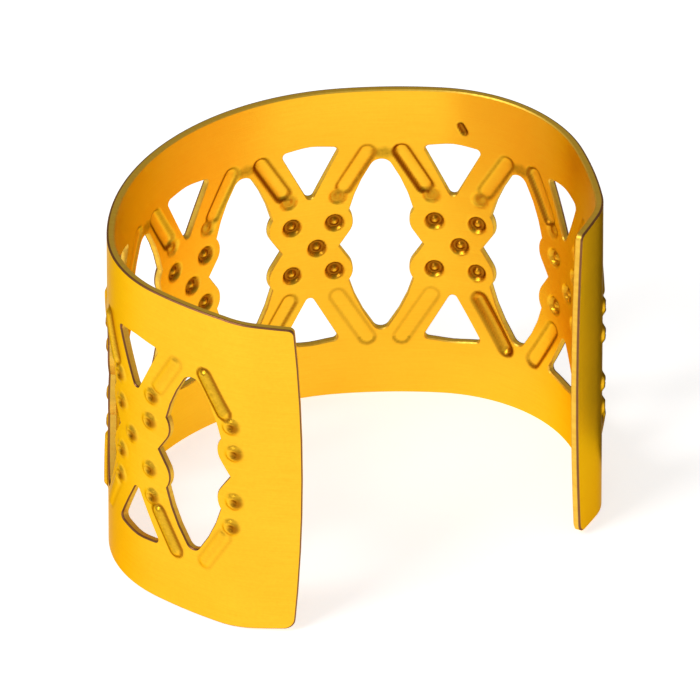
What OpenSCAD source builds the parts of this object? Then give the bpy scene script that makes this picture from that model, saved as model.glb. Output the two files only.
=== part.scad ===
// Hair cuff bead: one strip of anodised sheet aluminium, pierced, pressed and bent to an open C.
// The cuff stands on its lower rim, with the plan of the C in XY and Z up. All sizes in millimetres.
// The strip is measured along the middle of its sheet, from the end of the front panel round the back.

/* [Strip] */
// Height of the cuff from rim to rim
strip_h = 9; // [7:0.5:12]
// Thickness of the sheet
sheet_t = 0.2; // [0.15:0.01:0.3]
// How far the middle of each end of the strip stands out past its corners
end_bow = 0.2; // [0.05:0.05:0.3]
// How far each long edge draws in at the corners of the strip
end_taper = 0.1; // [0.05:0.05:0.2]
// Length over which the long edges draw in
taper_len = 2; // [1:0.25:2.5]
// Radius that rounds the upper corners of the strip
top_corner_r = 0.15; // [0.05:0.05:0.4]
// Radius that rounds the lower corners of the strip
foot_corner_r = 0.3; // [0.05:0.05:0.6]

/* [Bend] */
// Length of the nearly flat panel at each end
end_len = 1.15; // [0.8:0.05:1.6]
// Radius of the end panels, at the middle of the sheet
end_r = 20; // [10:1:30]
// Length of the knee beside each end panel
knee_len = 0.8; // [0.6:0.05:1.2]
// Radius of the front knee
front_knee_r = 1.95; // [1.5:0.05:3]
// Radius of the right knee
right_knee_r = 1.5; // [1.2:0.05:3]
// Length of the flared front
front_len = 2.1; // [1.5:0.1:3]
// Radius of the front
front_r = 11; // [8:0.5:15]
// Length of the tight left bend
left_len = 2.7; // [2.2:0.1:3.5]
// Radius of the left bend
left_r = 3.3; // [2.8:0.05:4]
// Length of the wide back
back_len = 9.5; // [8:0.25:10.5]
// Radius of the back
back_r = 6.45; // [6:0.05:8]
// Length of the flat stretch after the back
flat_len = 2.5; // [1.5:0.1:3.5]
// Radius of the flat stretch
flat_r = 11.5; // [8:0.5:15]
// Length of the right bend
right_len = 4.6; // [4:0.1:5.2]
// Radius of the right bend
right_r = 3.95; // [3.6:0.05:5]
// Length of the right side, from its bend to its knee
side_len = 2.2; // [1.5:0.1:3]
// Radius of the right side
side_r = 11.3; // [8:0.1:15]
// Heading of the strip where the front end panel begins, in degrees from +X
start_heading = 176.4; // [165:0.2:185]

/* [Pattern] */
// Distance from one motif to the next along the strip
pitch = 3.61; // [3.2:0.01:4.2]
// Shortest plain strip from the end motif's middle to the end of the sheet
end_plain = 0.9; // [0.8:0.1:2]
// Height of the pattern's middle line below the middle of the strip
pattern_drop = 0.07; // [0:0.01:0.3]
// How far the windows are punched short of the pressed dots and arms, along the strip
punch_shift = 0.08; // [0:0.01:0.14]
// Distance of a motif's middle dot past the motif's middle, along the strip
dot_shift = 0.1; // [0:0.02:0.2]
// Height of an oval window from tip to tip
oval_h = 5.04; // [4.4:0.02:5.6]
// Width of sheet that the long arcs of two neighbouring ovals would leave between them
neck_w = 1.76; // [1.5:0.02:2]
// Radius at the upper tip of an oval
oval_top_r = 0.3; // [0.2:0.02:0.36]
// Radius at the lower tip of an oval
oval_foot_r = 0.22; // [0.16:0.02:0.36]
// Width of a motif's body between the points of the notches in its two sides
waist_w = 1.5; // [1.2:0.02:1.8]
// Height of the wide base of an upper triangle window over the middle line
tri_top_z = 2.92; // [2.6:0.02:3.2]
// Depth of the wide base of a lower triangle window under the middle line
tri_foot_z = 2.78; // [2.6:0.02:3.2]
// Distance of a triangle's apex from the middle line
tri_apex_z = 1.34; // [1.2:0.02:1.7]
// Width of a triangle window along its base
tri_w = 1.54; // [1.2:0.02:1.7]
// Rise of a triangle's base at its middle
tri_arch = 0.1; // [0.02:0.02:0.2]
// Radius of a triangle's corners
tri_r = 0.12; // [0.06:0.02:0.2]

/* [Relief] */
// Distance between the two columns of dots on a motif
dot_gap_s = 1.1; // [0.8:0.02:1.3]
// Distance between the upper and lower rows of dots
dot_gap_z = 1.42; // [1.1:0.02:1.6]
// Radius of the rounded lobe of sheet round each outer dot
lobe_r = 0.55; // [0.45:0.01:0.65]
// Radius of a dot's mound where it meets the sheet
dot_r = 0.32; // [0.25:0.01:0.36]
// Width of the lip round the pit in the top of a mound
dot_lip = 0.06; // [0.03:0.01:0.1]
// Height of a dot's mound over the sheet
dot_rise = 0.1; // [0.06:0.01:0.16]
// Radius of the pit in the top of a mound
pit_r = 0.09; // [0.06:0.01:0.12]
// Radius of the ring pressed round each dot on the inside
ring_r = 0.2; // [0.16:0.01:0.24]
// Half the width of that ring
ring_w = 0.07; // [0.05:0.01:0.1]
// Distance of an arm's root from the motif's middle, along the strip
root_s = 0.63; // [0.5:0.01:0.8]
// Height of an arm's root from the middle line
root_z = 1.48; // [1.3:0.02:1.7]
// Distance of an arm's outer end from the motif's middle, along the strip
tip_s = 1.37; // [1.2:0.01:1.6]
// Height of an arm's outer end from the middle line
tip_z = 2.75; // [2.5:0.05:3.1]
// Distance from the dot at an arm's root to the start of its rib, and of an upper arm's channel
arm_gap = 0.46; // [0.44:0.02:0.6]
// Radius of an arm's rib on the outside
arm_r = 0.155; // [0.13:0.005:0.16]
// Height of an arm's rib over the sheet
arm_rise = 0.12; // [0.08:0.01:0.2]
// Radius of the channel inside an arm's rib
channel_r = 0.16; // [0.1:0.01:0.18]

/* [Hidden] */
$fn = 48;
gold = "goldenrod";
// The bend as [length, radius] of each arc, in order from the front panel's end
BEND = [
    [end_len, end_r], [knee_len, front_knee_r], [front_len, front_r], [left_len, left_r],
    [back_len, back_r], [flat_len, flat_r], [right_len, right_r],
    [side_len, side_r], [knee_len, right_knee_r], [end_len, end_r]];
LEN = 0;
RAD = 1;
// The strip's length before arc i, and its whole length
function before(i) = i == 0 ? 0 : before(i - 1) + BEND[i - 1][LEN];
strip_len = before(len(BEND));
bays = floor((strip_len - 2 * end_plain) / pitch);
end_margin = (strip_len - bays * pitch) / 2;
mid_z = strip_h / 2 - pattern_drop;
// Full width of an oval where its long arcs would be widest, and at the points of its notches
oval_w = pitch - neck_w;
notch_w = pitch - waist_w;
// A mound's cone starts in the middle of the sheet, so it is wider there than at the sheet's face
dot_root_r = dot_r + (dot_r - pit_r - dot_lip) * sheet_t / 2 / dot_rise;

// Turn of arc i in degrees
function turn(i) = BEND[i][LEN] / BEND[i][RAD] * 180 / PI;
// Heading, then place, at the start of arc i
function heading(i) = i == 0 ? start_heading : heading(i - 1) - turn(i - 1);
function hub(i) = start(i) + BEND[i][RAD] * [sin(heading(i)), -cos(heading(i))];
function start(i) = i == 0 ? [0, 0] : hub(i - 1) + BEND[i - 1][RAD] * [-sin(heading(i)), cos(heading(i))];
// The arc that holds the distance s along the strip
function arc_at(s, i = 0) = i == len(BEND) - 1 || s < before(i + 1) ? i : arc_at(s, i + 1);
// Heading and place at the distance s, and a point v outside the sheet's middle there
function heading_at(s) = let(i = arc_at(s)) heading(i) - (s - before(i)) / BEND[i][RAD] * 180 / PI;
function point_at(s, v) =
    let(i = arc_at(s), h = heading_at(s)) hub(i) + (BEND[i][RAD] + v) * [-sin(h), cos(h)];

// The wall's outline has a point about every wall_step along the strip, and the plan is centred on the
// box of its outer face
wall_step = 0.3;
steps = ceil(strip_len / wall_step);
function walk(v) = [for (k = [0 : steps]) point_at(strip_len * k / steps, v)];
outer_x = [for (p = walk(sheet_t / 2)) p.x];
outer_y = [for (p = walk(sheet_t / 2)) p.y];
centre = [min(outer_x) + max(outer_x), min(outer_y) + max(outer_y)] / 2;

// Stands its children on the sheet: X runs along the strip, Y points outward, Z stays up
module on_sheet(s, z = 0) {
    p = point_at(s, 0) - centre;
    translate([p.x, p.y, z]) rotate([0, 0, heading_at(s)]) children();
}

// Draws an outline, with its Y upward, out to a tool that passes through the sheet and leaves cut_clear
// on both sides, which is more than the sheet bends away from a tool that is as long as an end panel
cut_clear = 0.55;
module through_sheet() {
    depth = sheet_t + 2 * cut_clear;
    translate([0, depth / 2, 0]) rotate([90, 0, 0]) linear_extrude(depth) children();
}

// Points of an arc, one at least every arc_step degrees
arc_step = 14;
function arc(c, r, from, to) =
    let(n = max(2, ceil(abs(to - from) / arc_step)))
    [for (k = [0 : n]) c + r * direction(from + (to - from) * k / n)];
function direction(a) = [cos(a), sin(a)];
function angle_of(v) = atan2(v.y, v.x);
function unit(v) = v / norm(v);

// Points that round the corner p of an outline, and an outline with all its corners rounded
function corner(before, p, after, r) =
    let(u = unit(before - p), v = unit(after - p), half = acos(u * v) / 2)
    let(c = p + unit(u + v) * r / sin(half), from = angle_of(p + u * r / tan(half) - c))
    let(swing = (180 - 2 * half) * (u.x * v.y - u.y * v.x > 0 ? -1 : 1))
    arc(c, r, from, from + swing);
function rounded(points, radii) =
    let(n = len(points))
    [for (k = [0 : n - 1]) each corner(points[(k + n - 1) % n], points[k], points[(k + 1) % n], radii[k])];

// A quarter of an oval: from the point of its side notch, round a lobe of the next motif, up the long
// arc and round the tip
lobe_c = [pitch - dot_gap_s, dot_gap_z] / 2;
function oval_quarter(tip_r) =
    let(tip_c = [0, oval_h / 2 - tip_r])
    let(long_r = (pow(oval_w / 2, 2) + pow(tip_c.y, 2) - pow(tip_r, 2)) / (oval_w - 2 * tip_r))
    let(long_c = [oval_w / 2 - long_r, 0])
    let(notch = [notch_w / 2, 0], sight = notch - lobe_c)
    let(leave = angle_of(sight) + 360 - acos(lobe_r / norm(sight)))
    let(span = norm(lobe_c - long_c), along = (pow(long_r, 2) - pow(lobe_r, 2) + pow(span, 2)) / (2 * span))
    let(meet = angle_of(lobe_c - long_c) + acos(along / long_r))
    let(meet_p = long_c + long_r * direction(meet))
    let(tip = angle_of(tip_c - long_c))
    concat([notch], arc(lobe_c, lobe_r, leave, angle_of(meet_p - lobe_c)),
        arc(long_c, long_r, meet, tip), arc(tip_c, tip_r, tip, 90));
function turned_back(points) = [for (k = [len(points) - 1 : -1 : 0]) points[k]];
function flipped(points, fx, fy) = [for (p = points) [fx * p.x, fy * p.y]];

// An oval window between two motifs
module oval_window() {
    top = oval_quarter(oval_top_r);
    foot = flipped(oval_quarter(oval_foot_r), 1, -1);
    polygon(concat(
        top, turned_back(flipped(top, -1, 1)), flipped(foot, -1, 1), turned_back(foot)));
}

// A triangle window, with its apex toward the middle of a motif; side is 1 above it and -1 below. Its
// base is arched, with a radius as long as the window is wide.
module triangle_window(side) {
    half = tri_w / 2;
    base_z = side > 0 ? tri_top_z : tri_foot_z;
    corners = [[-half, base_z], [0, base_z + tri_arch], [half, base_z], [0, tri_apex_z]];
    polygon(flipped(rounded(corners, [tri_r, tri_w, tri_r, tri_r]), 1, side));
}

// What is cut away round an end of the strip: the end bows out to X = 0 at the middle of its height, and
// its corners lie end_bow and end_taper in from a plain rectangle's. The tool's long edges cross the
// strip's at taper_len and run on outside it by overrun, so that no sliver is left there.
overrun = 0.5;
module end_waste() {
    out = end_bow;
    half_h = strip_h / 2 - end_taper;
    bow_r = (pow(half_h, 2) + pow(end_bow, 2)) / (2 * end_bow);
    swing = asin(half_h / bow_r);
    bow = arc([bow_r, strip_h / 2], bow_r, 180 + swing, 180 - swing);
    last = len(bow) - 1;
    reach = taper_len + overrun;
    rise = overrun * end_taper / (taper_len - end_bow);
    foot = corner([reach, -rise], bow[0], bow[1], foot_corner_r);
    top = corner(bow[last - 1], bow[last], [reach, strip_h + rise], top_corner_r);
    inner = [for (k = [1 : last - 1]) bow[k]];
    outside = [[reach, strip_h + out], [-out, strip_h + out], [-out, -out], [reach, -out]];
    polygon(concat(outside, [[reach, -rise]], foot, inner, top, [[reach, strip_h + rise]]));
}

// One dot: a mound outside, the pit in its top, and the ring round it inside
module mound() {
    rotate([-90, 0, 0]) cylinder(r1 = dot_root_r, r2 = pit_r + dot_lip, h = sheet_t / 2 + dot_rise);
}
module pit() {
    translate([0, sheet_t / 2 + dot_rise, 0]) sphere(pit_r);
}
module ring() {
    translate([0, -sheet_t / 2, 0]) rotate([90, 0, 0]) rotate_extrude() translate([ring_r, 0]) circle(ring_w);
}

// Puts its children on the sheet at the middle of the arm in the quarter q of a motif, so that what is
// drawn there follows the bend
arm_mid_s = (root_s + tip_s) / 2;
module on_arm(q) {
    on_sheet(q[0] + arm_mid_s * q[1], mid_z) children();
}

// A round bar with a ball at each end, from the origin along +Z, turned in one piece
module bar(r, length) {
    rotate_extrude() intersection() {
        union() {
            circle(r);
            translate([0, length]) circle(r);
            translate([-r, 0]) square([2 * r, length]);
        }
        translate([0, -r]) square([r, length + 2 * r]);
    }
}

// One arm from gap past its root to its tip, round in section, with its axis at the depth level
module arm(q, gap, r, level) {
    root = [(root_s - arm_mid_s) * q[1], root_z * q[2]];
    tip = [(tip_s - arm_mid_s) * q[1], tip_z * q[2]];
    run = tip - root;
    from = root + unit(run) * gap;
    translate([from.x, level, from.y]) rotate([0, 90 - angle_of(run), 0]) bar(r, norm(run) - gap);
}

// Places for the relief: the quarters of each motif that the strip holds, a half motif at each end
QUARTERS = [for (k = [0 : bays], side_s = [-1, 1], side_z = [-1, 1])
    if ((k > 0 || side_s > 0) && (k < bays || side_s < 0)) [end_margin + k * pitch, side_s, side_z]];
MOTIFS = [for (k = [1 : bays - 1]) end_margin + k * pitch];
OVALS = [for (k = [0 : bays - 1]) end_margin + (k + 0.5) * pitch];
// The dots of the pattern as [distance along the strip, height]. The lower arms' roots show outside only,
// because inside their channels run on over them.
function roots(side_z) =
    [for (q = QUARTERS) if (q[2] == side_z) [q[0] + q[1] * root_s, mid_z + side_z * root_z]];
DOTS = concat(
    [for (s = MOTIFS) [s + dot_shift, mid_z]],
    [for (q = QUARTERS) [q[0] + q[1] * dot_gap_s / 2, mid_z + q[2] * dot_gap_z / 2]],
    roots(1));
MOUNDS = concat(DOTS, roots(-1));

// The plain bent strip
module bent_sheet() {
    translate([-centre.x, -centre.y, 0])
        linear_extrude(strip_h)
            polygon(concat(walk(sheet_t / 2), turned_back(walk(-sheet_t / 2))));
}

module windows() {
    for (s = OVALS) on_sheet(s - punch_shift, mid_z) through_sheet() oval_window();
    for (s = MOTIFS, side = [-1, 1])
        on_sheet(s - punch_shift, mid_z) through_sheet() triangle_window(side);
    for (end = [0, 1]) on_sheet(end * strip_len) mirror([end, 0, 0]) through_sheet() end_waste();
}

module raised() {
    for (d = MOUNDS) on_sheet(d[0], d[1]) mound();
    for (q = QUARTERS) on_arm(q) arm(q, arm_gap, arm_r, sheet_t / 2 + arm_rise - arm_r);
}

module pressed() {
    for (d = MOUNDS) on_sheet(d[0], d[1]) pit();
    for (d = DOTS) on_sheet(d[0], d[1]) ring();
    for (q = QUARTERS) on_arm(q) arm(q, q[2] > 0 ? arm_gap : 0, channel_r, -sheet_t / 2);
}

// The whole cuff, one piece of metal
module cuff() {
    color(gold) difference() {
        union() {
            bent_sheet();
            raised();
        }
        windows();
        pressed();
    }
}

cuff();
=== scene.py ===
# %% [markdown]
# A hair cuff is a strip of thin aluminium sheet. It is punched with windows, pressed with dots and ribs,
# dyed gold in an anodising bath and bent to a C that a braid is laid into. It could be sculpted as one
# curved thing, but the maker's order is easier to follow and to change: this lesson cuts and presses a
# flat strip first and bends it last. The frame is loaded before anything else.

# %% Load the frame
import math

import bpy
import numpy as np
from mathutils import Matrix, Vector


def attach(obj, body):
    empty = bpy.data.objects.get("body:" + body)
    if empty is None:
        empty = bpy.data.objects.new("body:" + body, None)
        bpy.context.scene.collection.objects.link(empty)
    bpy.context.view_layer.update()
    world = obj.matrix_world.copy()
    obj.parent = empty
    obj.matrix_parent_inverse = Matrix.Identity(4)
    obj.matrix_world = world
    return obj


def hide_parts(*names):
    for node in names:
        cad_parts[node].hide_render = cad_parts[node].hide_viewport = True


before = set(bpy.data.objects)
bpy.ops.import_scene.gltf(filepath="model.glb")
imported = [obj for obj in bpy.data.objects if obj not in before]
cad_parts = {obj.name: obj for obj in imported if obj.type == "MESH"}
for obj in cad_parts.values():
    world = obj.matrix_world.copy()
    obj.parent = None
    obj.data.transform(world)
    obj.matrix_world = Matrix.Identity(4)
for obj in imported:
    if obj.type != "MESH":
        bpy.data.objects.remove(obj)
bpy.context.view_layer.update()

# %% [markdown]
# All sizes are in millimetres while the strip is worked on, because Blender's tools merge and compare
# points more safely when a sheet is 0.2 units thick than when it is 0.0002. The finished piece is scaled
# to metres once, after the bend. The strip is measured along the middle of its sheet, from the end of the
# front panel: X runs along it, Y points out of the cuff, and Z is height.

# %% Sizes of the strip
STRIP_H = 9.0
SHEET_T = 0.2
# Each end bows out at its middle, and the long edges draw in over the last TAPER_LEN
END_BOW, END_TAPER, TAPER_LEN = 0.2, 0.1, 2.0
TOP_CORNER_R, FOOT_CORNER_R = 0.15, 0.3
print("The sheet is", SHEET_T, "mm thick and", STRIP_H, "mm high")

# %% Arcs of the bend
# Heading of the strip at the end of the front panel, in degrees from +X
START_HEADING = 176.4
# Length and radius of each arc of the bend, at the middle of the sheet
FRONT = ((1.15, 20), (0.8, 1.95), (2.1, 11), (2.7, 3.3))
BACK = ((9.5, 6.45), (2.5, 11.5))
SIDE = ((4.6, 3.95), (2.2, 11.3), (0.8, 1.5), (1.15, 20))
BEND = FRONT + BACK + SIDE
STRIP_LEN = sum(length for length, radius in BEND)
print("The flat strip is", round(STRIP_LEN, 2), "by", STRIP_H, "mm")

# %% [markdown]
# The pattern repeats along the strip. A bay holds one oval window. Between two ovals stands a motif: a
# body with five dots, and four arms that start at its corners and frame a triangle window above and one
# below. Each could be placed by hand, but a count of bays keeps the pattern centred if the bend changes.

# %% Places of the pattern
PITCH = 3.61
# Least plain sheet between the end motif's middle and the end of the strip
END_PLAIN = 0.9
# The pattern lies a little under the middle of the strip
PATTERN_DROP = 0.07
# The windows are punched a little short of the pressed dots and arms
PUNCH_SHIFT = 0.08
BAYS = math.floor((STRIP_LEN - 2 * END_PLAIN) / PITCH)
END_MARGIN = (STRIP_LEN - BAYS * PITCH) / 2
MID_Z = STRIP_H / 2 - PATTERN_DROP
print(BAYS, "ovals, the first motif", round(END_MARGIN, 3), "mm from the end")

# %% Sizes of the windows and the dots
OVAL_H, OVAL_TOP_R, OVAL_FOOT_R = 5.04, 0.3, 0.22
# Sheet between the long arcs of two ovals, and between the notches in their sides
NECK_W, WAIST_W = 1.76, 1.5
OVAL_W, NOTCH_W = PITCH - NECK_W, PITCH - WAIST_W
# Distances of the triangles' bases and apexes from the pattern's middle line
TRI_TOP_Z, TRI_FOOT_Z, TRI_APEX_Z = 2.92, 2.78, 1.34
TRI_W, TRI_ARCH, TRI_R = 1.54, 0.1, 0.12
# Columns and rows of dots, how far the middle dot lies past the motif's middle, and the sheet round a dot
DOT_GAP_S, DOT_GAP_Z, DOT_SHIFT = 1.1, 1.42, 0.1
LOBE_R = 0.55
print("An oval is", round(OVAL_W, 2), "by", OVAL_H, "mm")

# %% [markdown]
# Each window is a punch: a flat outline made of arcs, drawn out to a solid that passes through the sheet.
# An outline could be traced point by point, but arcs say what the shape is. An oval has two long arcs, a
# rounded tip above and below, and in each side a notch between the lobes of the next motif's two dots.


# %% Points along an arc
# Largest angle from one point of an arc to the next
ARC_STEP = math.radians(9)


def arc(centre, radius, start, end):
    """Points along an arc, ends included."""
    steps = max(2, math.ceil(abs(end - start) / ARC_STEP))
    angles = np.linspace(start, end, steps + 1)
    return [(centre[0] + radius * math.cos(a), centre[1] + radius * math.sin(a)) for a in angles]


print("A quarter of a circle takes", len(arc((0, 0), 1, 0, math.pi / 2)), "points")


# %% Rounded corners
def rounded(corners):
    """An outline whose corners (x, z, radius) are rounded, going anticlockwise. Radius 0 stays sharp."""
    points = []
    for i, (x, z, radius) in enumerate(corners):
        here = np.array((x, z))
        back = np.array(corners[i - 1][:2]) - here
        on = np.array(corners[(i + 1) % len(corners)][:2]) - here
        back, on = back / np.hypot(*back), on / np.hypot(*on)
        half = math.acos(back @ on) / 2
        if radius:
            # The corner's circle touches both sides, so its middle lies on the line that halves their angle
            middle = here + (back + on) / np.hypot(*(back + on)) * radius / math.sin(half)
            first = here + back * radius / math.tan(half) - middle
            start = math.atan2(first[1], first[0])
            points += arc(middle, radius, start, start + math.pi - 2 * half)
        else:
            points.append((x, z))
    return points


print("A triangle with one round corner takes", len(rounded(((0, 0, 0), (2, 0, 0), (0, 2, 0.5)))), "points")

# %% Finer outlines
# Length that the sides of an outline are cut to, about the size of the blank's coarse cells
LONGEST = 0.12


def divided(outline):
    """The outline with more points, so that no two lie much farther apart than LONGEST."""
    points = []
    for start, end in zip(outline, outline[1:] + outline[:1]):
        parts = max(1, round(math.dist(start, end) / LONGEST))
        points += [tuple(np.array(start) + (np.array(end) - start) * k / parts) for k in range(parts)]
    return points


print("A millimetre there and back becomes", len(divided([(0, 0), (1, 0)])), "short sides")


# %% Outline of an oval window
def oval_quarter(tip_r):
    """From the point of the side notch, round a lobe of the next motif, up the long arc, round the tip."""
    lobe = np.array((PITCH - DOT_GAP_S, DOT_GAP_Z)) / 2
    tip_z = OVAL_H / 2 - tip_r
    # The long arc bulges to the oval's width and runs smoothly into its tip
    long_r = (OVAL_W**2 / 4 + tip_z**2 - tip_r**2) / (OVAL_W - 2 * tip_r)
    hub = np.array((OVAL_W / 2 - long_r, 0))
    # The notch's straight side just touches the lobe
    sight = np.array((NOTCH_W / 2, 0)) - lobe
    leave = math.atan2(sight[1], sight[0]) + 2 * math.pi - math.acos(LOBE_R / np.hypot(*sight))
    # The lobe ends where its circle crosses the long arc
    span = np.hypot(*(lobe - hub))
    swing = math.acos((long_r**2 - LOBE_R**2 + span**2) / (2 * span * long_r))
    meet = math.atan2(*(lobe - hub)[::-1]) + swing
    crossing = hub + long_r * np.array((math.cos(meet), math.sin(meet))) - lobe
    tip = math.atan2(tip_z, -hub[0])
    side = [(NOTCH_W / 2, 0)] + arc(lobe, LOBE_R, leave, math.atan2(crossing[1], crossing[0]))
    side += arc(hub, long_r, meet, tip)[1:] + arc((0, tip_z), tip_r, tip, math.pi / 2)[1:]
    return side


def turned(points, across, up):
    """The same points mirrored, and run backwards where that keeps the outline anticlockwise."""
    flipped = [(across * x, up * z) for x, z in points]
    return flipped if across * up > 0 else flipped[::-1]


top, foot = oval_quarter(OVAL_TOP_R), oval_quarter(OVAL_FOOT_R)
OVAL = divided(top + turned(top, -1, 1)[1:-1] + turned(foot, -1, -1) + turned(foot, 1, -1)[1:-1])
print("An oval has", len(OVAL), "points")


# %% Outlines of the triangle windows
def triangle(base_z):
    """A window with its apex down. Its base is one wide arch, and its three corners are rounded closely."""
    corners = ((TRI_W / 2, base_z), (0, base_z + TRI_ARCH), (-TRI_W / 2, base_z), (0, TRI_APEX_Z))
    return divided(rounded([(x, z, TRI_W if z > base_z else TRI_R) for x, z in corners]))


upper_triangle, lower_triangle = triangle(TRI_TOP_Z), turned(triangle(TRI_FOOT_Z), -1, -1)
print("Points of the triangles:", len(upper_triangle), "and", len(lower_triangle))

# %% Outline of the strip
# Straight sides that make up the bow of each end
BOW_STEPS = 8


def strip_end():
    """Corners of the right end of the strip, going up. The end bows out between its own two corners."""
    corners = [(STRIP_LEN - TAPER_LEN, 0, 0)]
    half = STRIP_H / 2 - END_TAPER
    for t in np.linspace(-1, 1, BOW_STEPS + 1):
        radius = {-1: FOOT_CORNER_R, 1: TOP_CORNER_R}.get(t, 0)
        corners.append((STRIP_LEN - END_BOW * t * t, STRIP_H / 2 + half * t, radius))
    return corners + [(STRIP_LEN - TAPER_LEN, STRIP_H, 0)]


right_end = strip_end()
left_end = [(STRIP_LEN - x, z, radius) for x, z, radius in right_end[::-1]]
BLANK = divided(rounded(right_end + left_end))
print("The strip's outline has", len(BLANK), "points")

# %% [markdown]
# Cut sheet has a tiny chamfer along every edge, from tumbling and etching, and it is what catches the
# light. Bevelling a dense sheet after it is cut would trip over slivers. So the tools carry the chamfer: a
# punch flares where it leaves the sheet, and the die that cuts the strip's own outline narrows there.

# %% A solid tool drawn out of an outline
CHAMFER = 0.03
# Room by which a tool stands out of the sheet, and by which the uncut blank is too large
CLEAR = 0.02


def tool(outline, at, flare):
    """A solid that passes through the sheet. flare 1 widens it at both faces, and -1 narrows it."""
    bpy.ops.object.select_all(action="DESELECT")
    bpy.ops.mesh.primitive_circle_add(vertices=len(outline), fill_type="NGON")
    piece = bpy.context.object
    low, high = np.min(outline, axis=0), np.max(outline, axis=0)
    for vertex, (x, z) in zip(piece.data.vertices, outline):
        vertex.co = (at[0] + x, -SHEET_T / 2 - CLEAR, at[1] + z)
    # The slopes stand at 45 degrees, and grow is the factor by which they widen the outline
    grow = 1 + 2 * flare * (CHAMFER + CLEAR) / (high - low)
    middle = (at[0] + (low[0] + high[0]) / 2, 0, at[1] + (low[1] + high[1]) / 2)
    bpy.ops.object.mode_set(mode="EDIT")
    bpy.ops.mesh.select_all(action="SELECT")
    bpy.ops.transform.resize(value=(grow[0], 1, grow[1]), center_override=middle)
    # Three pulls take the outline through the sheet: a slope, the straight wall and a slope again
    slope, wall = CHAMFER + CLEAR, SHEET_T - 2 * CHAMFER
    for depth, factor in ((slope, 1 / grow), (wall, (1, 1)), (slope, grow)):
        bpy.ops.mesh.extrude_region_move(TRANSFORM_OT_translate={"value": (0, depth, 0)})
        bpy.ops.transform.resize(value=(factor[0], 1, factor[1]), center_override=middle)
    bpy.ops.mesh.select_all(action="SELECT")
    bpy.ops.mesh.normals_make_consistent(inside=False)
    bpy.ops.object.mode_set(mode="OBJECT")
    return piece


die = tool(BLANK, (0, 0), -1)
print("The die has", len(die.data.polygons), "faces")


# %% One punch for each window
def pick(*pieces):
    """Makes these the only selected objects, and the first of them active."""
    bpy.ops.object.select_all(action="DESELECT")
    for piece in pieces:
        piece.select_set(True)
    bpy.context.view_layer.objects.active = pieces[0]


def joined(pieces, name):
    """The pieces as one object."""
    pick(*pieces)
    bpy.ops.object.join()
    bpy.context.object.name = name
    return bpy.context.object


oval_places = [(END_MARGIN + (bay + 0.5) * PITCH, MID_Z) for bay in range(BAYS)]
motif_places = [(END_MARGIN + bay * PITCH, MID_Z) for bay in range(1, BAYS)]
punches = []
for outline, places in ((OVAL, oval_places), (upper_triangle, motif_places), (lower_triangle, motif_places)):
    punches += [tool(outline, (s - PUNCH_SHIFT, z), 1) for s, z in places]
punch_set = joined(punches, "punches")
print(len(punches), "punches, joined to a set of", len(punch_set.data.polygons), "faces")

# %% [markdown]
# The press will raise the sheet outward in dots and arms. Where they are is needed three times: the blank
# takes finer cells there, and later the press and the dye look up how near each point is to a dot or an
# arm. A list of all dots and arms could be searched for that. As the pattern repeats, it is quicker to fold
# each place into one quarter of a motif, which has only one dot, one root and one arm to measure from.
# The middle dot is measured apart.

# %% Places of the arms and the scratch
# Where an arm starts and ends, from the middle of its motif
ROOT, TIP = (0.63, 1.48), (1.37, 2.75)
# How far past its root a rib starts outside, and an upper channel inside
RIB_GAP, CHANNEL_GAP = 0.4, 0.32
# Two ends of a short scratch on the back, under the upper rim
NICK = ((19.28, 8.02), (19.38, 7.84))


def to_line(x, z, start, end):
    """Distance of places from the straight line between two points."""
    start, end = np.array(start), np.array(end)
    length = np.hypot(*(end - start))
    way = (end - start) / length
    run = np.clip((x - start[0]) * way[0] + (z - start[1]) * way[1], 0, length)
    return np.hypot(x - start[0] - way[0] * run, z - start[1] - way[1] * run)


def to_arm(across, high, gap):
    """Distance of places in a quarter of a motif from its arm, which starts gap past the root."""
    start = np.array(ROOT) + (np.array(TIP) - ROOT) * gap / math.dist(ROOT, TIP)
    return to_line(across, high, start, TIP)


print("A rib is", round(math.dist(ROOT, TIP) - RIB_GAP, 2), "mm long")

# %% Distances from the dots
# A distance that stands for none here
FAR = 9.0


def to_dots(along, up, whole):
    """Distance of places from the nearest of a motif's dots. Only a whole motif has the middle one."""
    corner = np.hypot(abs(along) - DOT_GAP_S / 2, abs(up) - DOT_GAP_Z / 2)
    return np.minimum(corner, np.where(whole, np.hypot(along - DOT_SHIFT, up), FAR))


print("From a motif's middle to its nearest dot:", to_dots(np.zeros(1), np.zeros(1), True).round(2), "mm")

# %% Distances from the relief
# How far the brown painted shade in a pit lies off the pit's middle, towards the mound's shadowed side
SPOT_LEAN = 0.07


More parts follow.
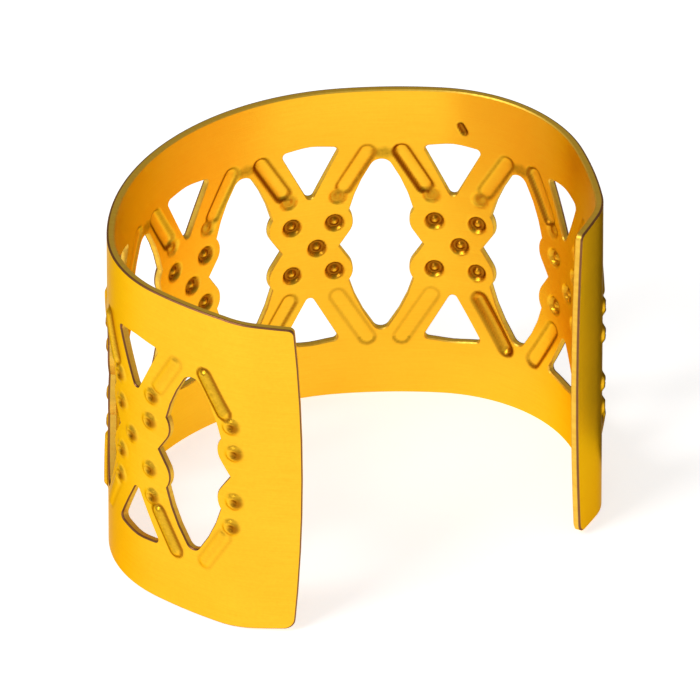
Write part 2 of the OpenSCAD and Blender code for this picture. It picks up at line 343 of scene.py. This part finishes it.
def relief(flat):
    """Distances of places on the flat strip from what is pressed there, and where they lie in a motif."""
    s, z = flat[:, 0], flat[:, 2]
    motif = np.clip(np.round((s - END_MARGIN) / PITCH), 0, BAYS)
    along, up = s - END_MARGIN - motif * PITCH, z - MID_Z
    across, high = abs(along), abs(up)
    # The end panels are plain, so the first and the last motif have only their inner halves
    whole = (motif > 0) & (motif < BAYS)
    shown = whole | ((motif == 0) & (along > 0)) | ((motif == BAYS) & (along < 0))
    dot = to_dots(along, up, whole)
    root = np.hypot(across - ROOT[0], high - ROOT[1])
    root_spot = np.hypot(across + SPOT_LEAN * np.sign(along) - ROOT[0], high - ROOT[1])
    found = {
        "mound": np.minimum(dot, root),
        "spot": np.minimum(to_dots(along + SPOT_LEAN, up, whole), root_spot),
        "ring": dot,
        "root_ring": np.where(up > 0, root, FAR),
        "rib": to_arm(across, high, RIB_GAP),
        "channel": np.where(up > 0, to_arm(across, high, CHANNEL_GAP), to_arm(across, high, 0)),
        "tip": np.hypot(across - TIP[0], high - TIP[1]),
    }
    found = {name: np.where(shown, distance, FAR) for name, distance in found.items()}
    found["nick"] = to_line(s, z, *NICK)
    # Whether a place is on the oval's side of its arm, and whether that arm falls to the right, from inside
    found["oval_side"] = (across - ROOT[0]) * (TIP[1] - ROOT[1]) > (high - ROOT[1]) * (TIP[0] - ROOT[0])
    found["falls"] = along * up < 0
    found["past_tip"] = high > TIP[1]
    found["low"] = up < 0
    return found


print("Looked up for each place:", ", ".join(relief(np.zeros((1, 3)))))

# %% [markdown]
# The blank is a grid, so that there are points to press and to bend. Plain sheet only bends, and takes
# coarse cells. Where the press will work, each cell is divided by three both ways. One fine grid all over
# would be simpler, but it would have more than twice the faces for the same look.

# %% The blank
# Side of a coarse cell
CELL = 0.125


def read(items, name, width):
    """One property of all vertices or faces as an array with a row for each."""
    values = np.empty(len(items) * width)
    items.foreach_get(name, values)
    return values.reshape(-1, width)


bpy.ops.object.select_all(action="DESELECT")
bpy.ops.mesh.primitive_grid_add(
    x_subdivisions=round(STRIP_LEN / CELL),
    y_subdivisions=round(STRIP_H / CELL),
    size=1,
    rotation=(math.pi / 2, 0, 0),
)
cuff = bpy.context.object
cuff.name = cuff.data.name = "gold_cuff"
cuff.scale = (STRIP_LEN + CLEAR, STRIP_H + CLEAR, 1)
cuff.location = (STRIP_LEN / 2, 0, STRIP_H / 2)
bpy.ops.object.transform_apply(location=True, rotation=True, scale=True)
print("The coarse grid has", len(cuff.data.polygons), "cells")

# %% Finer cells where the press works
# Cells whose middle lies nearer than this to a dot, an arm or the scratch are divided
FINE = 0.36
cells = relief(read(cuff.data.polygons, "center", 3))
worked = np.minimum.reduce([cells["mound"], cells["rib"], cells["channel"], cells["nick"]]) < FINE
bpy.context.tool_settings.mesh_select_mode = (False, False, True)
bpy.ops.object.mode_set(mode="EDIT")
bpy.ops.mesh.select_all(action="DESELECT")
bpy.ops.object.mode_set(mode="OBJECT")
cuff.data.polygons.foreach_set("select", worked)
bpy.ops.object.mode_set(mode="EDIT")
bpy.ops.mesh.subdivide(number_cuts=2)
bpy.ops.object.mode_set(mode="OBJECT")
print(int(worked.sum()), "cells are divided, and the grid has", len(cuff.data.polygons), "faces")


# %% Thickness of the blank
def apply_modifier(piece, kind, **settings):
    """Adds one modifier to the piece and applies it."""
    pick(piece)
    modifier = piece.modifiers.new(kind.title(), kind)
    for name, value in settings.items():
        setattr(modifier, name, value)
    bpy.ops.object.modifier_apply(modifier=modifier.name)


apply_modifier(cuff, "SOLIDIFY", thickness=SHEET_T, offset=0)
print("The blank is", round(cuff.dimensions.y, 3), "mm thick and has", len(cuff.data.polygons), "faces")

# %% [markdown]
# Faces drawn by hand round each window would lie more evenly, but there would be thousands to draw. The
# die, the punches and the blank are closed solids, so two booleans do the cutting instead. Along the cuts
# they leave faces with many corners. A bend would warp those, so they become triangles.

# %% Cut the strip
apply_modifier(cuff, "BOOLEAN", object=die, operation="INTERSECT", solver="MANIFOLD")
apply_modifier(cuff, "BOOLEAN", object=punch_set, operation="DIFFERENCE", solver="MANIFOLD")
for spent in (die, punch_set):
    bpy.data.objects.remove(spent)
apply_modifier(cuff, "TRIANGULATE", min_vertices=5)
print("The cut strip has", len(cuff.data.polygons), "faces")

# %% [markdown]
# While the strip is flat it is easy to tell its two faces from its cut edges: a face looks along Y. So the
# cut edges get their own material slot now, and the sharp lines beside them are marked now too. The
# flat place of each point is kept as an attribute, and the brushing follows it round the bend later.

# %% Faces and cut edges
FACE, EDGE = 0, 1
# A normal with this much of Y in it belongs to one of the sheet's two faces
SQUARE_ON = 0.9
is_face = abs(read(cuff.data.polygons, "normal", 3)[:, 1]) > SQUARE_ON
cuff.data.materials.clear()
gold, cut_edge = bpy.data.materials.new("dyed_gold"), bpy.data.materials.new("cut_edge")
cuff.data.materials.append(gold)
cuff.data.materials.append(cut_edge)
cuff.data.polygons.foreach_set("material_index", np.where(is_face, FACE, EDGE))
print("Faces on cut edges:", int((~is_face).sum()))

# %% Sharp lines and flat places
# Points of a cut that lie closer than this become one
MERGE_WITHIN = 0.0005
# Faces that meet at a larger angle than this keep a crisp line between them
SHARP_FROM = math.radians(30)
pick(cuff)
bpy.context.tool_settings.mesh_select_mode = (False, True, False)
bpy.ops.object.mode_set(mode="EDIT")
bpy.ops.mesh.select_all(action="SELECT")
bpy.ops.mesh.remove_doubles(threshold=MERGE_WITHIN)
bpy.ops.mesh.select_all(action="DESELECT")
bpy.ops.mesh.edges_select_sharp(sharpness=SHARP_FROM)
bpy.ops.mesh.mark_sharp()
bpy.ops.object.mode_set(mode="OBJECT")
flat = read(cuff.data.vertices, "co", 3)
cuff.data.attributes.new("flat", "FLOAT_VECTOR", "POINT").data.foreach_set("vector", flat.ravel())
print("Points that keep their flat place:", len(flat))

# %% [markdown]
# A dot is a mound outside with a pit in its top, and inside a ring with a bump in it. An arm is a rib
# outside and a channel inside. Sculpting each by hand would leave no two alike, so the height of the
# pressed sheet is a formula of the distance from the nearest dot and arm. The arms of the real strip
# aren't pressed alike, though. Looked at from inside, those that fall to the right are the crisp ones,
# and the lower of them the deepest, while the two arms below one oval of the back hardly show. Outside
# it is the other arms whose ribs are crisp.


# %% Slopes
def step(distance, outer, inner):
    """0 farther away than outer, 1 nearer than inner, and a smooth slope between them."""
    # The cubic below leaves both ends of the slope level, like sheet that is drawn over a round edge
    share = np.clip((outer - distance) / (outer - inner), 0, 1)
    return share * share * (3 - 2 * share)


near = relief(flat)
print("Points within a dot's lobe:", int((near["mound"] < LOBE_R).sum()))

# %% How hard each arm is pressed
# The oval of the back whose lower arms hardly show, counted from 0 at the front panel
LIGHT_OVAL = 4
LIGHT_SHARE, SOFT_SHARE, DEEP_SHARE = 0.16, 0.55, 1.3
light = near["low"] & (abs(flat[:, 0] - oval_places[LIGHT_OVAL][0]) < PITCH / 2)
deep = near["low"] & near["falls"] & ~light
channel_share = np.select([light, deep, near["falls"]], [LIGHT_SHARE, DEEP_SHARE, 1.0], SOFT_SHARE)
rib_share = np.where(near["falls"], SOFT_SHARE, 1.0)
print("Shares of the full depth:", sorted(set(channel_share.tolist())))

# %% Height of the outside
# Heights, and the distances at which each slope starts and ends
MOUND_RISE, MOUND_SLOPE = 0.085, (0.29, 0.1)
PIT_DEPTH, PIT_SLOPE = 0.065, (0.12, 0.04)
RIB_RISE, RIB_SLOPE = 0.1, (0.21, 0.05)
mounds = MOUND_RISE * step(near["mound"], *MOUND_SLOPE)
ribs = RIB_RISE * rib_share * step(near["rib"], *RIB_SLOPE)
outside = np.maximum(mounds, ribs) - PIT_DEPTH * step(near["mound"], *PIT_SLOPE)
print("Outside, the relief is up to", round(outside.max(), 3), "mm high")

# %% Height of the inside
RING_RISE, RING_SLOPE, ROOT_RING_SLOPE = 0.1, (0.26, 0.17), (0.25, 0.15)
BUMP_RISE, BUMP_SLOPE, ROOT_BUMP_SLOPE = 0.08, (0.14, 0.04), (0.13, 0.04)
ROOT_RING_SHARE, ROOT_BUMP_SHARE = 0.5, 0.4
# A channel has a flat floor or a round one, and is a mix of the two
CHANNEL_RISE, FLAT_SLOPE, ROUND_SLOPE = 0.11, (0.26, 0.12), (0.24, 0.0)
DEEP_ROUND, PLAIN_ROUND = 0.9, 0.12
NICK_RISE, NICK_SLOPE = 0.07, (0.1, 0.04)
root_ring = step(near["root_ring"], *ROOT_RING_SLOPE) * ROOT_RING_SHARE
root_bump = step(near["root_ring"], *ROOT_BUMP_SLOPE) * ROOT_BUMP_SHARE
ring = np.maximum(step(near["ring"], *RING_SLOPE), root_ring)
bump = np.maximum(step(near["ring"], *BUMP_SLOPE), root_bump)
roundness = np.where(deep, DEEP_ROUND, PLAIN_ROUND)
flat_floor = step(near["channel"], *FLAT_SLOPE) * (1 - roundness)
round_floor = step(near["channel"], *ROUND_SLOPE) * roundness
inside = np.maximum(RING_RISE * ring, CHANNEL_RISE * channel_share * (flat_floor + round_floor))
inside += NICK_RISE * step(near["nick"], *NICK_SLOPE) - BUMP_RISE * bump
print("Inside, the relief is up to", round(inside.max(), 3), "mm deep")

# %% [markdown]
# A height could be written straight into the mesh. As a vertex weight it can be looked at and painted, and
# one Displace modifier then moves every point by its weight. A weight can't be over 1, so 1 stands for MOST.

# %% Press the strip
MOST = 0.15
# 0 on the inside face of the sheet, 1 on the outside face, and between them in the cut edges
share_out = flat[:, 1] / SHEET_T + 0.5
rise = inside + (outside - inside) * share_out
group = cuff.vertex_groups.new(name="pressed")
for index in np.flatnonzero(rise > 0):
    group.add([int(index)], rise[index] / MOST, "REPLACE")
apply_modifier(cuff, "DISPLACE", vertex_group="pressed", direction="Y", mid_level=0, strength=MOST)
cuff.vertex_groups.clear()
print("The press raised", int((rise > 0).sum()), "points by up to", round(rise.max(), 3), "mm")

# %% [markdown]
# What is pressed deep is darkened with painted shade, and the same distances say where. Two marks hold it:
# brown, for painted shade in rings, pits and channel walls and for a real scratch, and olive, for painted
# shade along the arms and over the ovals and a thin tint from handling outside. A mark is a number from 0
# to 1 at each point, which the finish reads. Painting it by hand would look as good, but it would have to
# be done again after each change to the relief.

# %% Brown marks inside: painted shade in the rings, and a scratch
# A mark below this is too faint to count
TRACE = 0.1


def line(distance, place, width):
    """A soft line at a distance from something, with its full strength over the middle third."""
    return step(abs(distance - place), width, width / 3)


def marked(values):
    """How many points have more than a trace of a mark."""
    return int((values > TRACE).sum())


# A ring is darkened with painted shade but for its eye, and on the right side of the cuff that shade is about
# half as strong
RING_SHADE, EYE, EYE_UNSHADED = (0.26, 0.19), (0.09, 0.03), 0.85
ROOT_SHADE, ROOT_SHADE_SHARE = (0.22, 0.14), 0.55
RIGHT_SIDE_FROM, RIGHT_SIDE_SHADE_SHARE = 20.5, 0.55
NICK_DYE, NICK_DYE_SHARE = (0.13, 0.07), 1.3
ring_shade = step(near["ring"], *RING_SHADE) - EYE_UNSHADED * step(near["ring"], *EYE)
ring_shade *= np.where(flat[:, 0] > RIGHT_SIDE_FROM, RIGHT_SIDE_SHADE_SHARE, 1.0)
root_ring_shade = step(near["root_ring"], *ROOT_SHADE) * ROOT_SHADE_SHARE
scratch = step(near["nick"], *NICK_DYE) * NICK_DYE_SHARE
print("Points with dye in the rings:", marked(ring_shade))

# %% Brown painted shade along the channels
WALL_AT, WALL_WIDTH = 0.21, 0.07
# Shares of painted shade on a wall: beside the oval on an arm that falls, elsewhere, and on light and deep
# arms
OVAL_WALL, OTHER_WALL = 1.0, 0.2
LIGHT_WALL, LIGHT_FALLING_MORE = 0.15, 0.1
DEEP_WALL_LEAST = 0.6
DEEP_FLOOR, DEEP_FLOOR_SHARE = (0.2, 0.08), 0.4
wall_shade_share = np.where(near["falls"] & near["oval_side"], OVAL_WALL, OTHER_WALL)
light_wall_shade = LIGHT_WALL + LIGHT_FALLING_MORE * near["falls"]
wall_shade_share = np.select([light, deep], [light_wall_shade, np.maximum(wall_shade_share, DEEP_WALL_LEAST)], wall_shade_share)
# Painted shade along the channel walls, and on the floors of the deep channels
wall = line(near["channel"], WALL_AT, WALL_WIDTH) * wall_shade_share
wall = np.maximum(wall, step(near["channel"], *DEEP_FLOOR) * deep * DEEP_FLOOR_SHARE)
brown_inside = np.maximum.reduce([ring_shade, root_ring_shade, wall, scratch])
print("Points with dye on channel walls:", marked(wall))

# %% Olive painted shade inside
# The olive painted shade is a line along the foot of each wall
FOOT_AT, FOOT_WIDTH = 0.19, 0.06
LIGHT_FOOT, PLAIN_FOOT = 0.3, 0.7
# Round the end of each lower arm it shows more
CRESCENT_SHARE = 0.9
# Over each oval lies a patch of olive painted shade, with its middle as far over the oval's tip as the first
# number below
SHADE_PATCH_UP, SHADE_PATCH_W, SHADE_PATCH_H = 0.2, 0.34, 0.15
SHADE_PATCH_SLOPE, SHADE_PATCH_SHARE = (1.4, 0.4), 0.9


def to_shade_patch(s, z):
    """Distance from the middle of a patch of painted shade over the oval at s and z, as a share of the
    patch's size.
    """
    return np.hypot((flat[:, 0] - s) / SHADE_PATCH_W, (flat[:, 2] - z - OVAL_H / 2 - SHADE_PATCH_UP) / SHADE_PATCH_H)


shade_patches = np.min([to_shade_patch(s, z) for s, z in oval_places], axis=0)
channel_foot = line(near["channel"], FOOT_AT, FOOT_WIDTH) * np.where(light, LIGHT_FOOT, PLAIN_FOOT)
crescent = line(near["tip"], FOOT_AT, FOOT_WIDTH) * (near["past_tip"] & near["low"]) * CRESCENT_SHARE
olive_inside = np.maximum.reduce([channel_foot, crescent, step(shade_patches, *SHADE_PATCH_SLOPE) * SHADE_PATCH_SHARE])
print("Points with film inside:", marked(olive_inside))

# %% Marks outside
# Painted shade: brown in the pits and along the feet of the ribs, olive on the ribs. Olive from handling lies
# thinly all over
SPOT_SLOPE = (0.2, 0.08)
FALLING_FOOT, OTHER_FOOT = 0.25, 1.0
RIB_SHADE, FALLING_RIB_SHADE, OTHER_RIB_SHADE = (0.15, 0.03), 0.3, 0.75
HANDLED = 0.12
rib_foot = line(near["rib"], FOOT_AT, FOOT_WIDTH) * np.where(near["falls"], FALLING_FOOT, OTHER_FOOT)
rib_shade = step(near["rib"], *RIB_SHADE) * np.where(near["falls"], FALLING_RIB_SHADE, OTHER_RIB_SHADE)
brown_outside = np.maximum(step(near["spot"], *SPOT_SLOPE), rib_foot)
olive_outside = np.maximum(rib_shade, HANDLED)
print("Points with dye outside:", marked(brown_outside))

# %% Keep the marks on the mesh
is_outside = share_out > 0.5
for name, inner, outer in (("brown", brown_inside, brown_outside), ("olive", olive_inside, olive_outside)):
    values = np.clip(np.where(is_outside, outer, inner), 0, 1)
    cuff.data.attributes.new(name, "FLOAT", "POINT").data.foreach_set("value", values)
    print("Points with", name, "marks:", marked(values))

# %% [markdown]
# A closed cuff is opened with the fingers, so its plan isn't a circle but a row of arcs: a flat end, a
# knee, the flared front, a tight bend, a wide back, a flatter stretch, the right side and again a knee and
# a flat end. Blender's bend tool needs a window and bends to one radius. Arcs in a row are simple enough
# to write down: the place along the strip picks the arc, and the depth is added to its radius.


# %% Plan of the bent strip
def bent(s, depth):
    """Plan of the bent strip, from the distance along it and the depth outward from mid-sheet."""
    plan = np.zeros((len(s), 2))
    here, heading, before = np.zeros(2), math.radians(START_HEADING), 0.0
    for length, radius in BEND:
        hub = here + radius * np.array((math.sin(heading), -math.cos(heading)))
        # The first arc takes every point, and each later one takes over those that lie past its start
        mine = (s >= before) | (before == 0)
        angle = heading - (s[mine] - before) / radius
        reach = radius + depth[mine]
        plan[mine] = hub + np.stack((-np.sin(angle) * reach, np.cos(angle) * reach), axis=1)
        heading -= length / radius
        here = hub + radius * np.array((-math.sin(heading), math.cos(heading)))
        before += length
    return plan


mouth = bent(np.array((0, STRIP_LEN)), np.zeros(2))
print("The mouth is", round(math.dist(*mouth), 2), "mm wide")

# %% Bend the strip
# The plan is centred on its outer face, walked in steps of this length as in the CAD, so both agree
WALL_STEP = 0.3
MM = 0.001
stops = np.linspace(0, STRIP_LEN, math.ceil(STRIP_LEN / WALL_STEP) + 1)
walk = bent(stops, np.full(len(stops), SHEET_T / 2))
centre = (walk.min(axis=0) + walk.max(axis=0)) / 2
places = read(cuff.data.vertices, "co", 3)
places[:, :2] = bent(places[:, 0], places[:, 1]) - centre
cuff.data.vertices.foreach_set("co", places.ravel())
pick(cuff)
bpy.ops.transform.resize(value=(MM, MM, MM), center_override=(0, 0, 0))
bpy.ops.object.transform_apply(location=True, rotation=True, scale=True)
bpy.ops.object.shade_smooth()
print("Bent strip, in metres:", [round(side, 5) for side in cuff.dimensions])

# %% [markdown]
# Shader sums are easier to read as sums. A Value wraps one output socket, and arithmetic on it adds Math
# nodes. A Finish holds one material and makes every other kind of node through one method.


# %% Shader arithmetic
class Value:
    """One output socket, with Python's operators on it."""

    def __init__(self, finish, socket):
        self.finish = finish
        self.socket = socket

    def maths(self, operation, *numbers):
        """A Math node on values or numbers."""
        return self.finish.node("ShaderNodeMath", {"operation": operation}, dict(enumerate(numbers)))

    def __add__(self, other):
        return self.maths("ADD", self, other)

    def __sub__(self, other):
        return self.maths("SUBTRACT", self, other)

    def __rsub__(self, other):
        return self.maths("SUBTRACT", other, self)

    def __mul__(self, other):
        return self.maths("MULTIPLY", self, other)

    __radd__ = __add__
    __rmul__ = __mul__


print("A Value knows", [name for name in vars(Value) if name.endswith(("add__", "sub__", "mul__"))])


# %% Finishes and their nodes
class Finish:
    """One material and the nodes in it."""

    def __init__(self, material):
        material.use_nodes = True
        self.tree = material.node_tree
        self.tree.nodes.clear()

    def node(self, kind, settings=None, inputs=None, output=0):
        """A node with its settings made first, then the values or links of its sockets."""
        made = self.tree.nodes.new(kind)
        for name, value in (settings or {}).items():
            setattr(made, name, value)
        for name, value in (inputs or {}).items():
            if isinstance(value, Value):
                self.tree.links.new(value.socket, made.inputs[name])
            else:
                made.inputs[name].default_value = value
        return Value(self, made.outputs[output]) if len(made.outputs) else made

    def place(self, attribute, scale):
        """A place kept on the piece, stretched by scale."""
        source = self.node("ShaderNodeAttribute", {"attribute_name": attribute}, output="Vector")
        return self.node("ShaderNodeVectorMath", {"operation": "MULTIPLY"}, {0: source, 1: scale})

    def mark(self, attribute):
        """A number kept at each point of the piece."""
        return self.node("ShaderNodeAttribute", {"attribute_name": attribute}, output="Fac")

    def noise(self, where, detail=2.0, roughness=0.5):
        """Soft random patches, about one unit of where across."""
        inputs = {"Vector": where, "Scale": 1.0, "Detail": detail, "Roughness": roughness}
        return self.node("ShaderNodeTexNoise", None, inputs)

    def blend(self, share, low, high):
        """A colour between two colours. The Mix node keeps its colours in sockets 6 and 7."""
        inputs = {"Factor": share, 6: low, 7: high}
        return self.node("ShaderNodeMix", {"data_type": "RGBA"}, inputs, output=2)

    def surface(self, **inputs):
        """The surface shader, from its sockets' names with _ for a space."""
        named = {name.replace("_", " "): value for name, value in inputs.items()}
        shader = self.node("ShaderNodeBsdfPrincipled", None, named)
        self.node("ShaderNodeOutputMaterial", None, {"Surface": shader})


print("Ready to mix finishes for", [material.name for material in cuff.data.materials])

# %% [markdown]
# Dyed anodising is clear oxide over bright metal: a satin metal whose colour is the dye's. Seen at a
# slant, light passes through more dye, so the specular tint, which is a metal's colour at a slant, is
# darker. One even colour would look like paint. Rolling leaves fine lines along the strip, and dye, lines
# and gloss vary over a few millimetres, so three noises are mixed. The brown and olive marks are laid over
# them: mostly painted shade, with a real scratch and a thin tint from handling.

# %% Gold anodising
# Patches to the millimetre: along the strip, through it and up it
LINES, CLOUDS, GRAIN = (0.9, 0, 34), (0.35, 0, 0.5), (14, 14, 14)
THIN_DYE, FULL_DYE = (1.0, 0.64, 0.04, 1), (0.94, 0.43, 0.014, 1)
# Colours of the marks: olive, for painted shade and the thin tint from handling, and brown, for painted shade
# and the scratch
OLIVE_SHADE_AND_TINT, BROWN_SHADE_AND_SCRATCH = (0.36, 0.2, 0.008, 1), (0.3, 0.09, 0.003, 1)
SLANT_TINT = (0.6, 0.5, 0.3, 1)
# How much clouds, lines and grain deepen the dye
CLOUD_SHARE, LINE_SHARE, GRAIN_SHARE = 0.4, 0.5, 0.2
# How much of each mark shows, the olive more or less with the grain
OLIVE_LEAST, OLIVE_GRAIN, BROWN_SHARE = 0.35, 0.8, 0.9
# Height of the rolled lines in metres, its strength, and the grain on them
LINE_DEPTH, LINE_BUMP, GRAIN_BUMP = 0.00002, 0.2, 0.4
# Least roughness, and what lines and clouds add to it
SATIN, SATIN_VARIES = 0.24, 0.1


def gold_finish(finish):
    """Satin gold with rolled lines and clouds in its dye, under the olive and brown marks, which are mostly
    painted shade.
    """
    lines = finish.noise(finish.place("flat", LINES), detail=3.0, roughness=0.6)
    clouds = finish.noise(finish.place("flat", CLOUDS))
    grain = finish.noise(finish.place("flat", GRAIN))
    depth = clouds * CLOUD_SHARE + lines * LINE_SHARE + grain * GRAIN_SHARE
    dye = finish.blend(depth, THIN_DYE, FULL_DYE)
    olive_layer = finish.blend(finish.mark("olive") * (grain * OLIVE_GRAIN + OLIVE_LEAST), dye, OLIVE_SHADE_AND_TINT)
    colour = finish.blend(finish.mark("brown") * BROWN_SHARE, olive_layer, BROWN_SHADE_AND_SCRATCH)
    height = {"Strength": LINE_BUMP, "Distance": LINE_DEPTH, "Height": lines + grain * GRAIN_BUMP}
    bump = finish.node("ShaderNodeBump", None, height)
    roughness = lines * SATIN_VARIES + clouds * SATIN_VARIES + SATIN
    finish.surface(
        Base_Color=colour, Metallic=1.0, Roughness=roughness, Normal=bump, Specular_Tint=SLANT_TINT
    )


gold_finish(Finish(gold))
print("The gold has", len(gold.node_tree.nodes), "nodes")

# %% [markdown]
# A punch shears the sheet from inside and tears through its last quarter, so a cut edge is burnished where
# it was sheared. Towards the outside it has a dark line of painted shade. A second slot for that line would
# need edges along it. The flat place already knows the depth in the sheet, so one material can tell them
# apart.

# %% Cut edges
# Depths outward from mid-sheet between which the burnish gives way to the painted shade
SHADE_START, SHADE_END = 0.035, 0.065
# Worn patches to the millimetre, drawn out through the sheet
WEAR = (9, 2, 9)
BRIGHT_EDGE, DULL_EDGE, EDGE_SHADE_COLOUR = (1.0, 0.68, 0.1, 1), (0.85, 0.48, 0.05, 1), (0.26, 0.11, 0.05, 1)
EDGE_SATIN, EDGE_VARIES = 0.4, 0.2


def edge_finish(finish):
    """Burnished metal that gives way to a dark line of painted shade."""
    wear = finish.noise(finish.place("flat", WEAR), detail=3.0)
    flat_place = finish.place("flat", (1, 1, 1))
    depth = finish.node("ShaderNodeSeparateXYZ", None, {"Vector": flat_place}, output="Y")
    limits = {"Value": depth, "From Min": SHADE_START, "From Max": SHADE_END}
    edge_shade = finish.node("ShaderNodeMapRange", {"interpolation_type": "SMOOTHSTEP"}, limits)
    burnished = finish.blend(wear, BRIGHT_EDGE, DULL_EDGE)
    # Towards the outside of the sheet the edge is darkened with painted shade
    colour = finish.blend(1 - edge_shade, EDGE_SHADE_COLOUR, burnished)
    roughness = wear * EDGE_VARIES + EDGE_SATIN
    finish.surface(Base_Color=colour, Metallic=1.0, Roughness=roughness, Specular_Tint=SLANT_TINT)


edge_finish(Finish(cut_edge))
print("The cut edge has", len(cut_edge.node_tree.nodes), "nodes")

# %% [markdown]
# The finished piece takes the place of the plain solid in the frame. The frame keeps the solid for
# collision and hides it, and the piece moves with the only body that there is.

# %% The cuff stands for its solid
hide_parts("cuff")
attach(cuff, "root")
print("Triangles:", sum(len(face.vertices) - 2 for face in cuff.data.polygons))

# %% [markdown]
# The photograph is a cut-out on white, shot on a lit table: the floor itself glows a little, so the cuff
# casts hardly any shadow and its steep walls mirror a bright floor. The sky is dimmer than the floor, and
# what light comes from above comes from the left and the front.

# %% Floor
FLOOR_SIZE, FLOOR_GLOW = 1.2, 0.62


def stage_floor():
    """A pale floor that glows."""
    bpy.ops.object.select_all(action="DESELECT")
    bpy.ops.mesh.primitive_plane_add(size=FLOOR_SIZE)
    floor = bpy.context.object
    floor.name = "floor"
    material = bpy.data.materials.new("pale_glass")
    floor.data.materials.append(material)
    glow = {"Emission_Color": (1, 1, 1, 1), "Emission_Strength": FLOOR_GLOW}
    Finish(material).surface(Base_Color=(0.9, 0.9, 0.9, 1), Roughness=0.9, **glow)


stage_floor()
print("The floor glows over", FLOOR_SIZE, "m each way")

# %% [markdown]
# The right side of the cuff, seen at a slant, mirrors what stands beside it. Darker paint on the metal
# would look wrong from every other side, so a dark card stands there, as in a studio. It shows in
# reflections only, and throws no shadow.

# %% Dark card
# Metres, like all that follows
CARD_PLACE = (0.0084, 0.002, 0.0043)
CARD_W, CARD_H = 0.0036, 0.0086


def stage_card():
    """A dark card that only reflections show, facing the camera's side."""
    bpy.ops.object.select_all(action="DESELECT")
    bpy.ops.mesh.primitive_plane_add(size=1, location=CARD_PLACE, rotation=(math.pi / 2, 0, 0))
    card = bpy.context.object
    card.name = "dark_card"
    card.scale = (CARD_W, CARD_H, 1)
    material = bpy.data.materials.new("dark_felt")
    card.data.materials.append(material)
    Finish(material).surface(Base_Color=(0.07, 0.065, 0.03, 1), Roughness=0.9)
    card.visible_camera = card.visible_diffuse = card.visible_shadow = False


stage_card()
print("A card of", CARD_W, "by", CARD_H, "m stands to the right")

# %% [markdown]
# An even sky alone would look flat. A lamp at the upper left brightens the front panel and the floor, and a
# weak one in front lifts the steep walls. Both are broad for so small a thing, so their highlights stay
# soft. The Standard view transform keeps the floor white and the gold as yellow as it is mixed.

# %% Lights
SKY_STRENGTH = 0.33
LAMP_SIZE = 0.06
# Name, place in metres and power in watts
LAMPS = (("key", (-0.08, -0.06, 0.1), 0.085), ("front", (-0.02, -0.12, 0.04), 0.006))


def soft_light(name, place, watts):
    """A square lamp that faces the middle of the cuff."""
    lamp = bpy.data.lights.new(name, "AREA")
    lamp.size = LAMP_SIZE
    lamp.energy = watts
    holder = bpy.data.objects.new(name, lamp)
    bpy.context.scene.collection.objects.link(holder)
    way = Vector(place) - Vector((0, 0, STRIP_H / 2 * MM))
    holder.location = place
    holder.rotation_euler = way.to_track_quat("Z", "Y").to_euler()


sky = bpy.data.worlds.new("sky")
bpy.context.scene.world = sky
sky.use_nodes = True
sky.node_tree.nodes["Background"].inputs["Color"].default_value = (1, 1, 1, 1)
sky.node_tree.nodes["Background"].inputs["Strength"].default_value = SKY_STRENGTH
for lamp_row in LAMPS:
    soft_light(*lamp_row)
bpy.context.scene.view_settings.view_transform = "Standard"

# %% [markdown]
# The camera keeps the photograph's viewing angle and distance, found by matching both rims of the bend:
# about 34 degrees above the floor and 595 mm away. A longer lens fills the picture with the cuff alone.

# %% Camera
ELEVATION = math.radians(33.67)
DISTANCE = 0.595
# Width of what the picture shows at that distance
PICTURE_W = 0.0173
AIM = Vector((-0.00013, 0.00082, 0.0042))
camera = bpy.data.objects.new("camera", bpy.data.cameras.new("camera"))
bpy.context.scene.collection.objects.link(camera)
camera.location = AIM + DISTANCE * Vector((0, -math.cos(ELEVATION), math.sin(ELEVATION)))
camera.rotation_euler = (math.pi / 2 - ELEVATION, 0, 0)
camera.data.lens = camera.data.sensor_width * DISTANCE / PICTURE_W
camera.data.clip_start, camera.data.clip_end = 0.1, 5
bpy.context.scene.camera = camera
print("Lens of", round(camera.data.lens), "mm")

# %% [markdown]
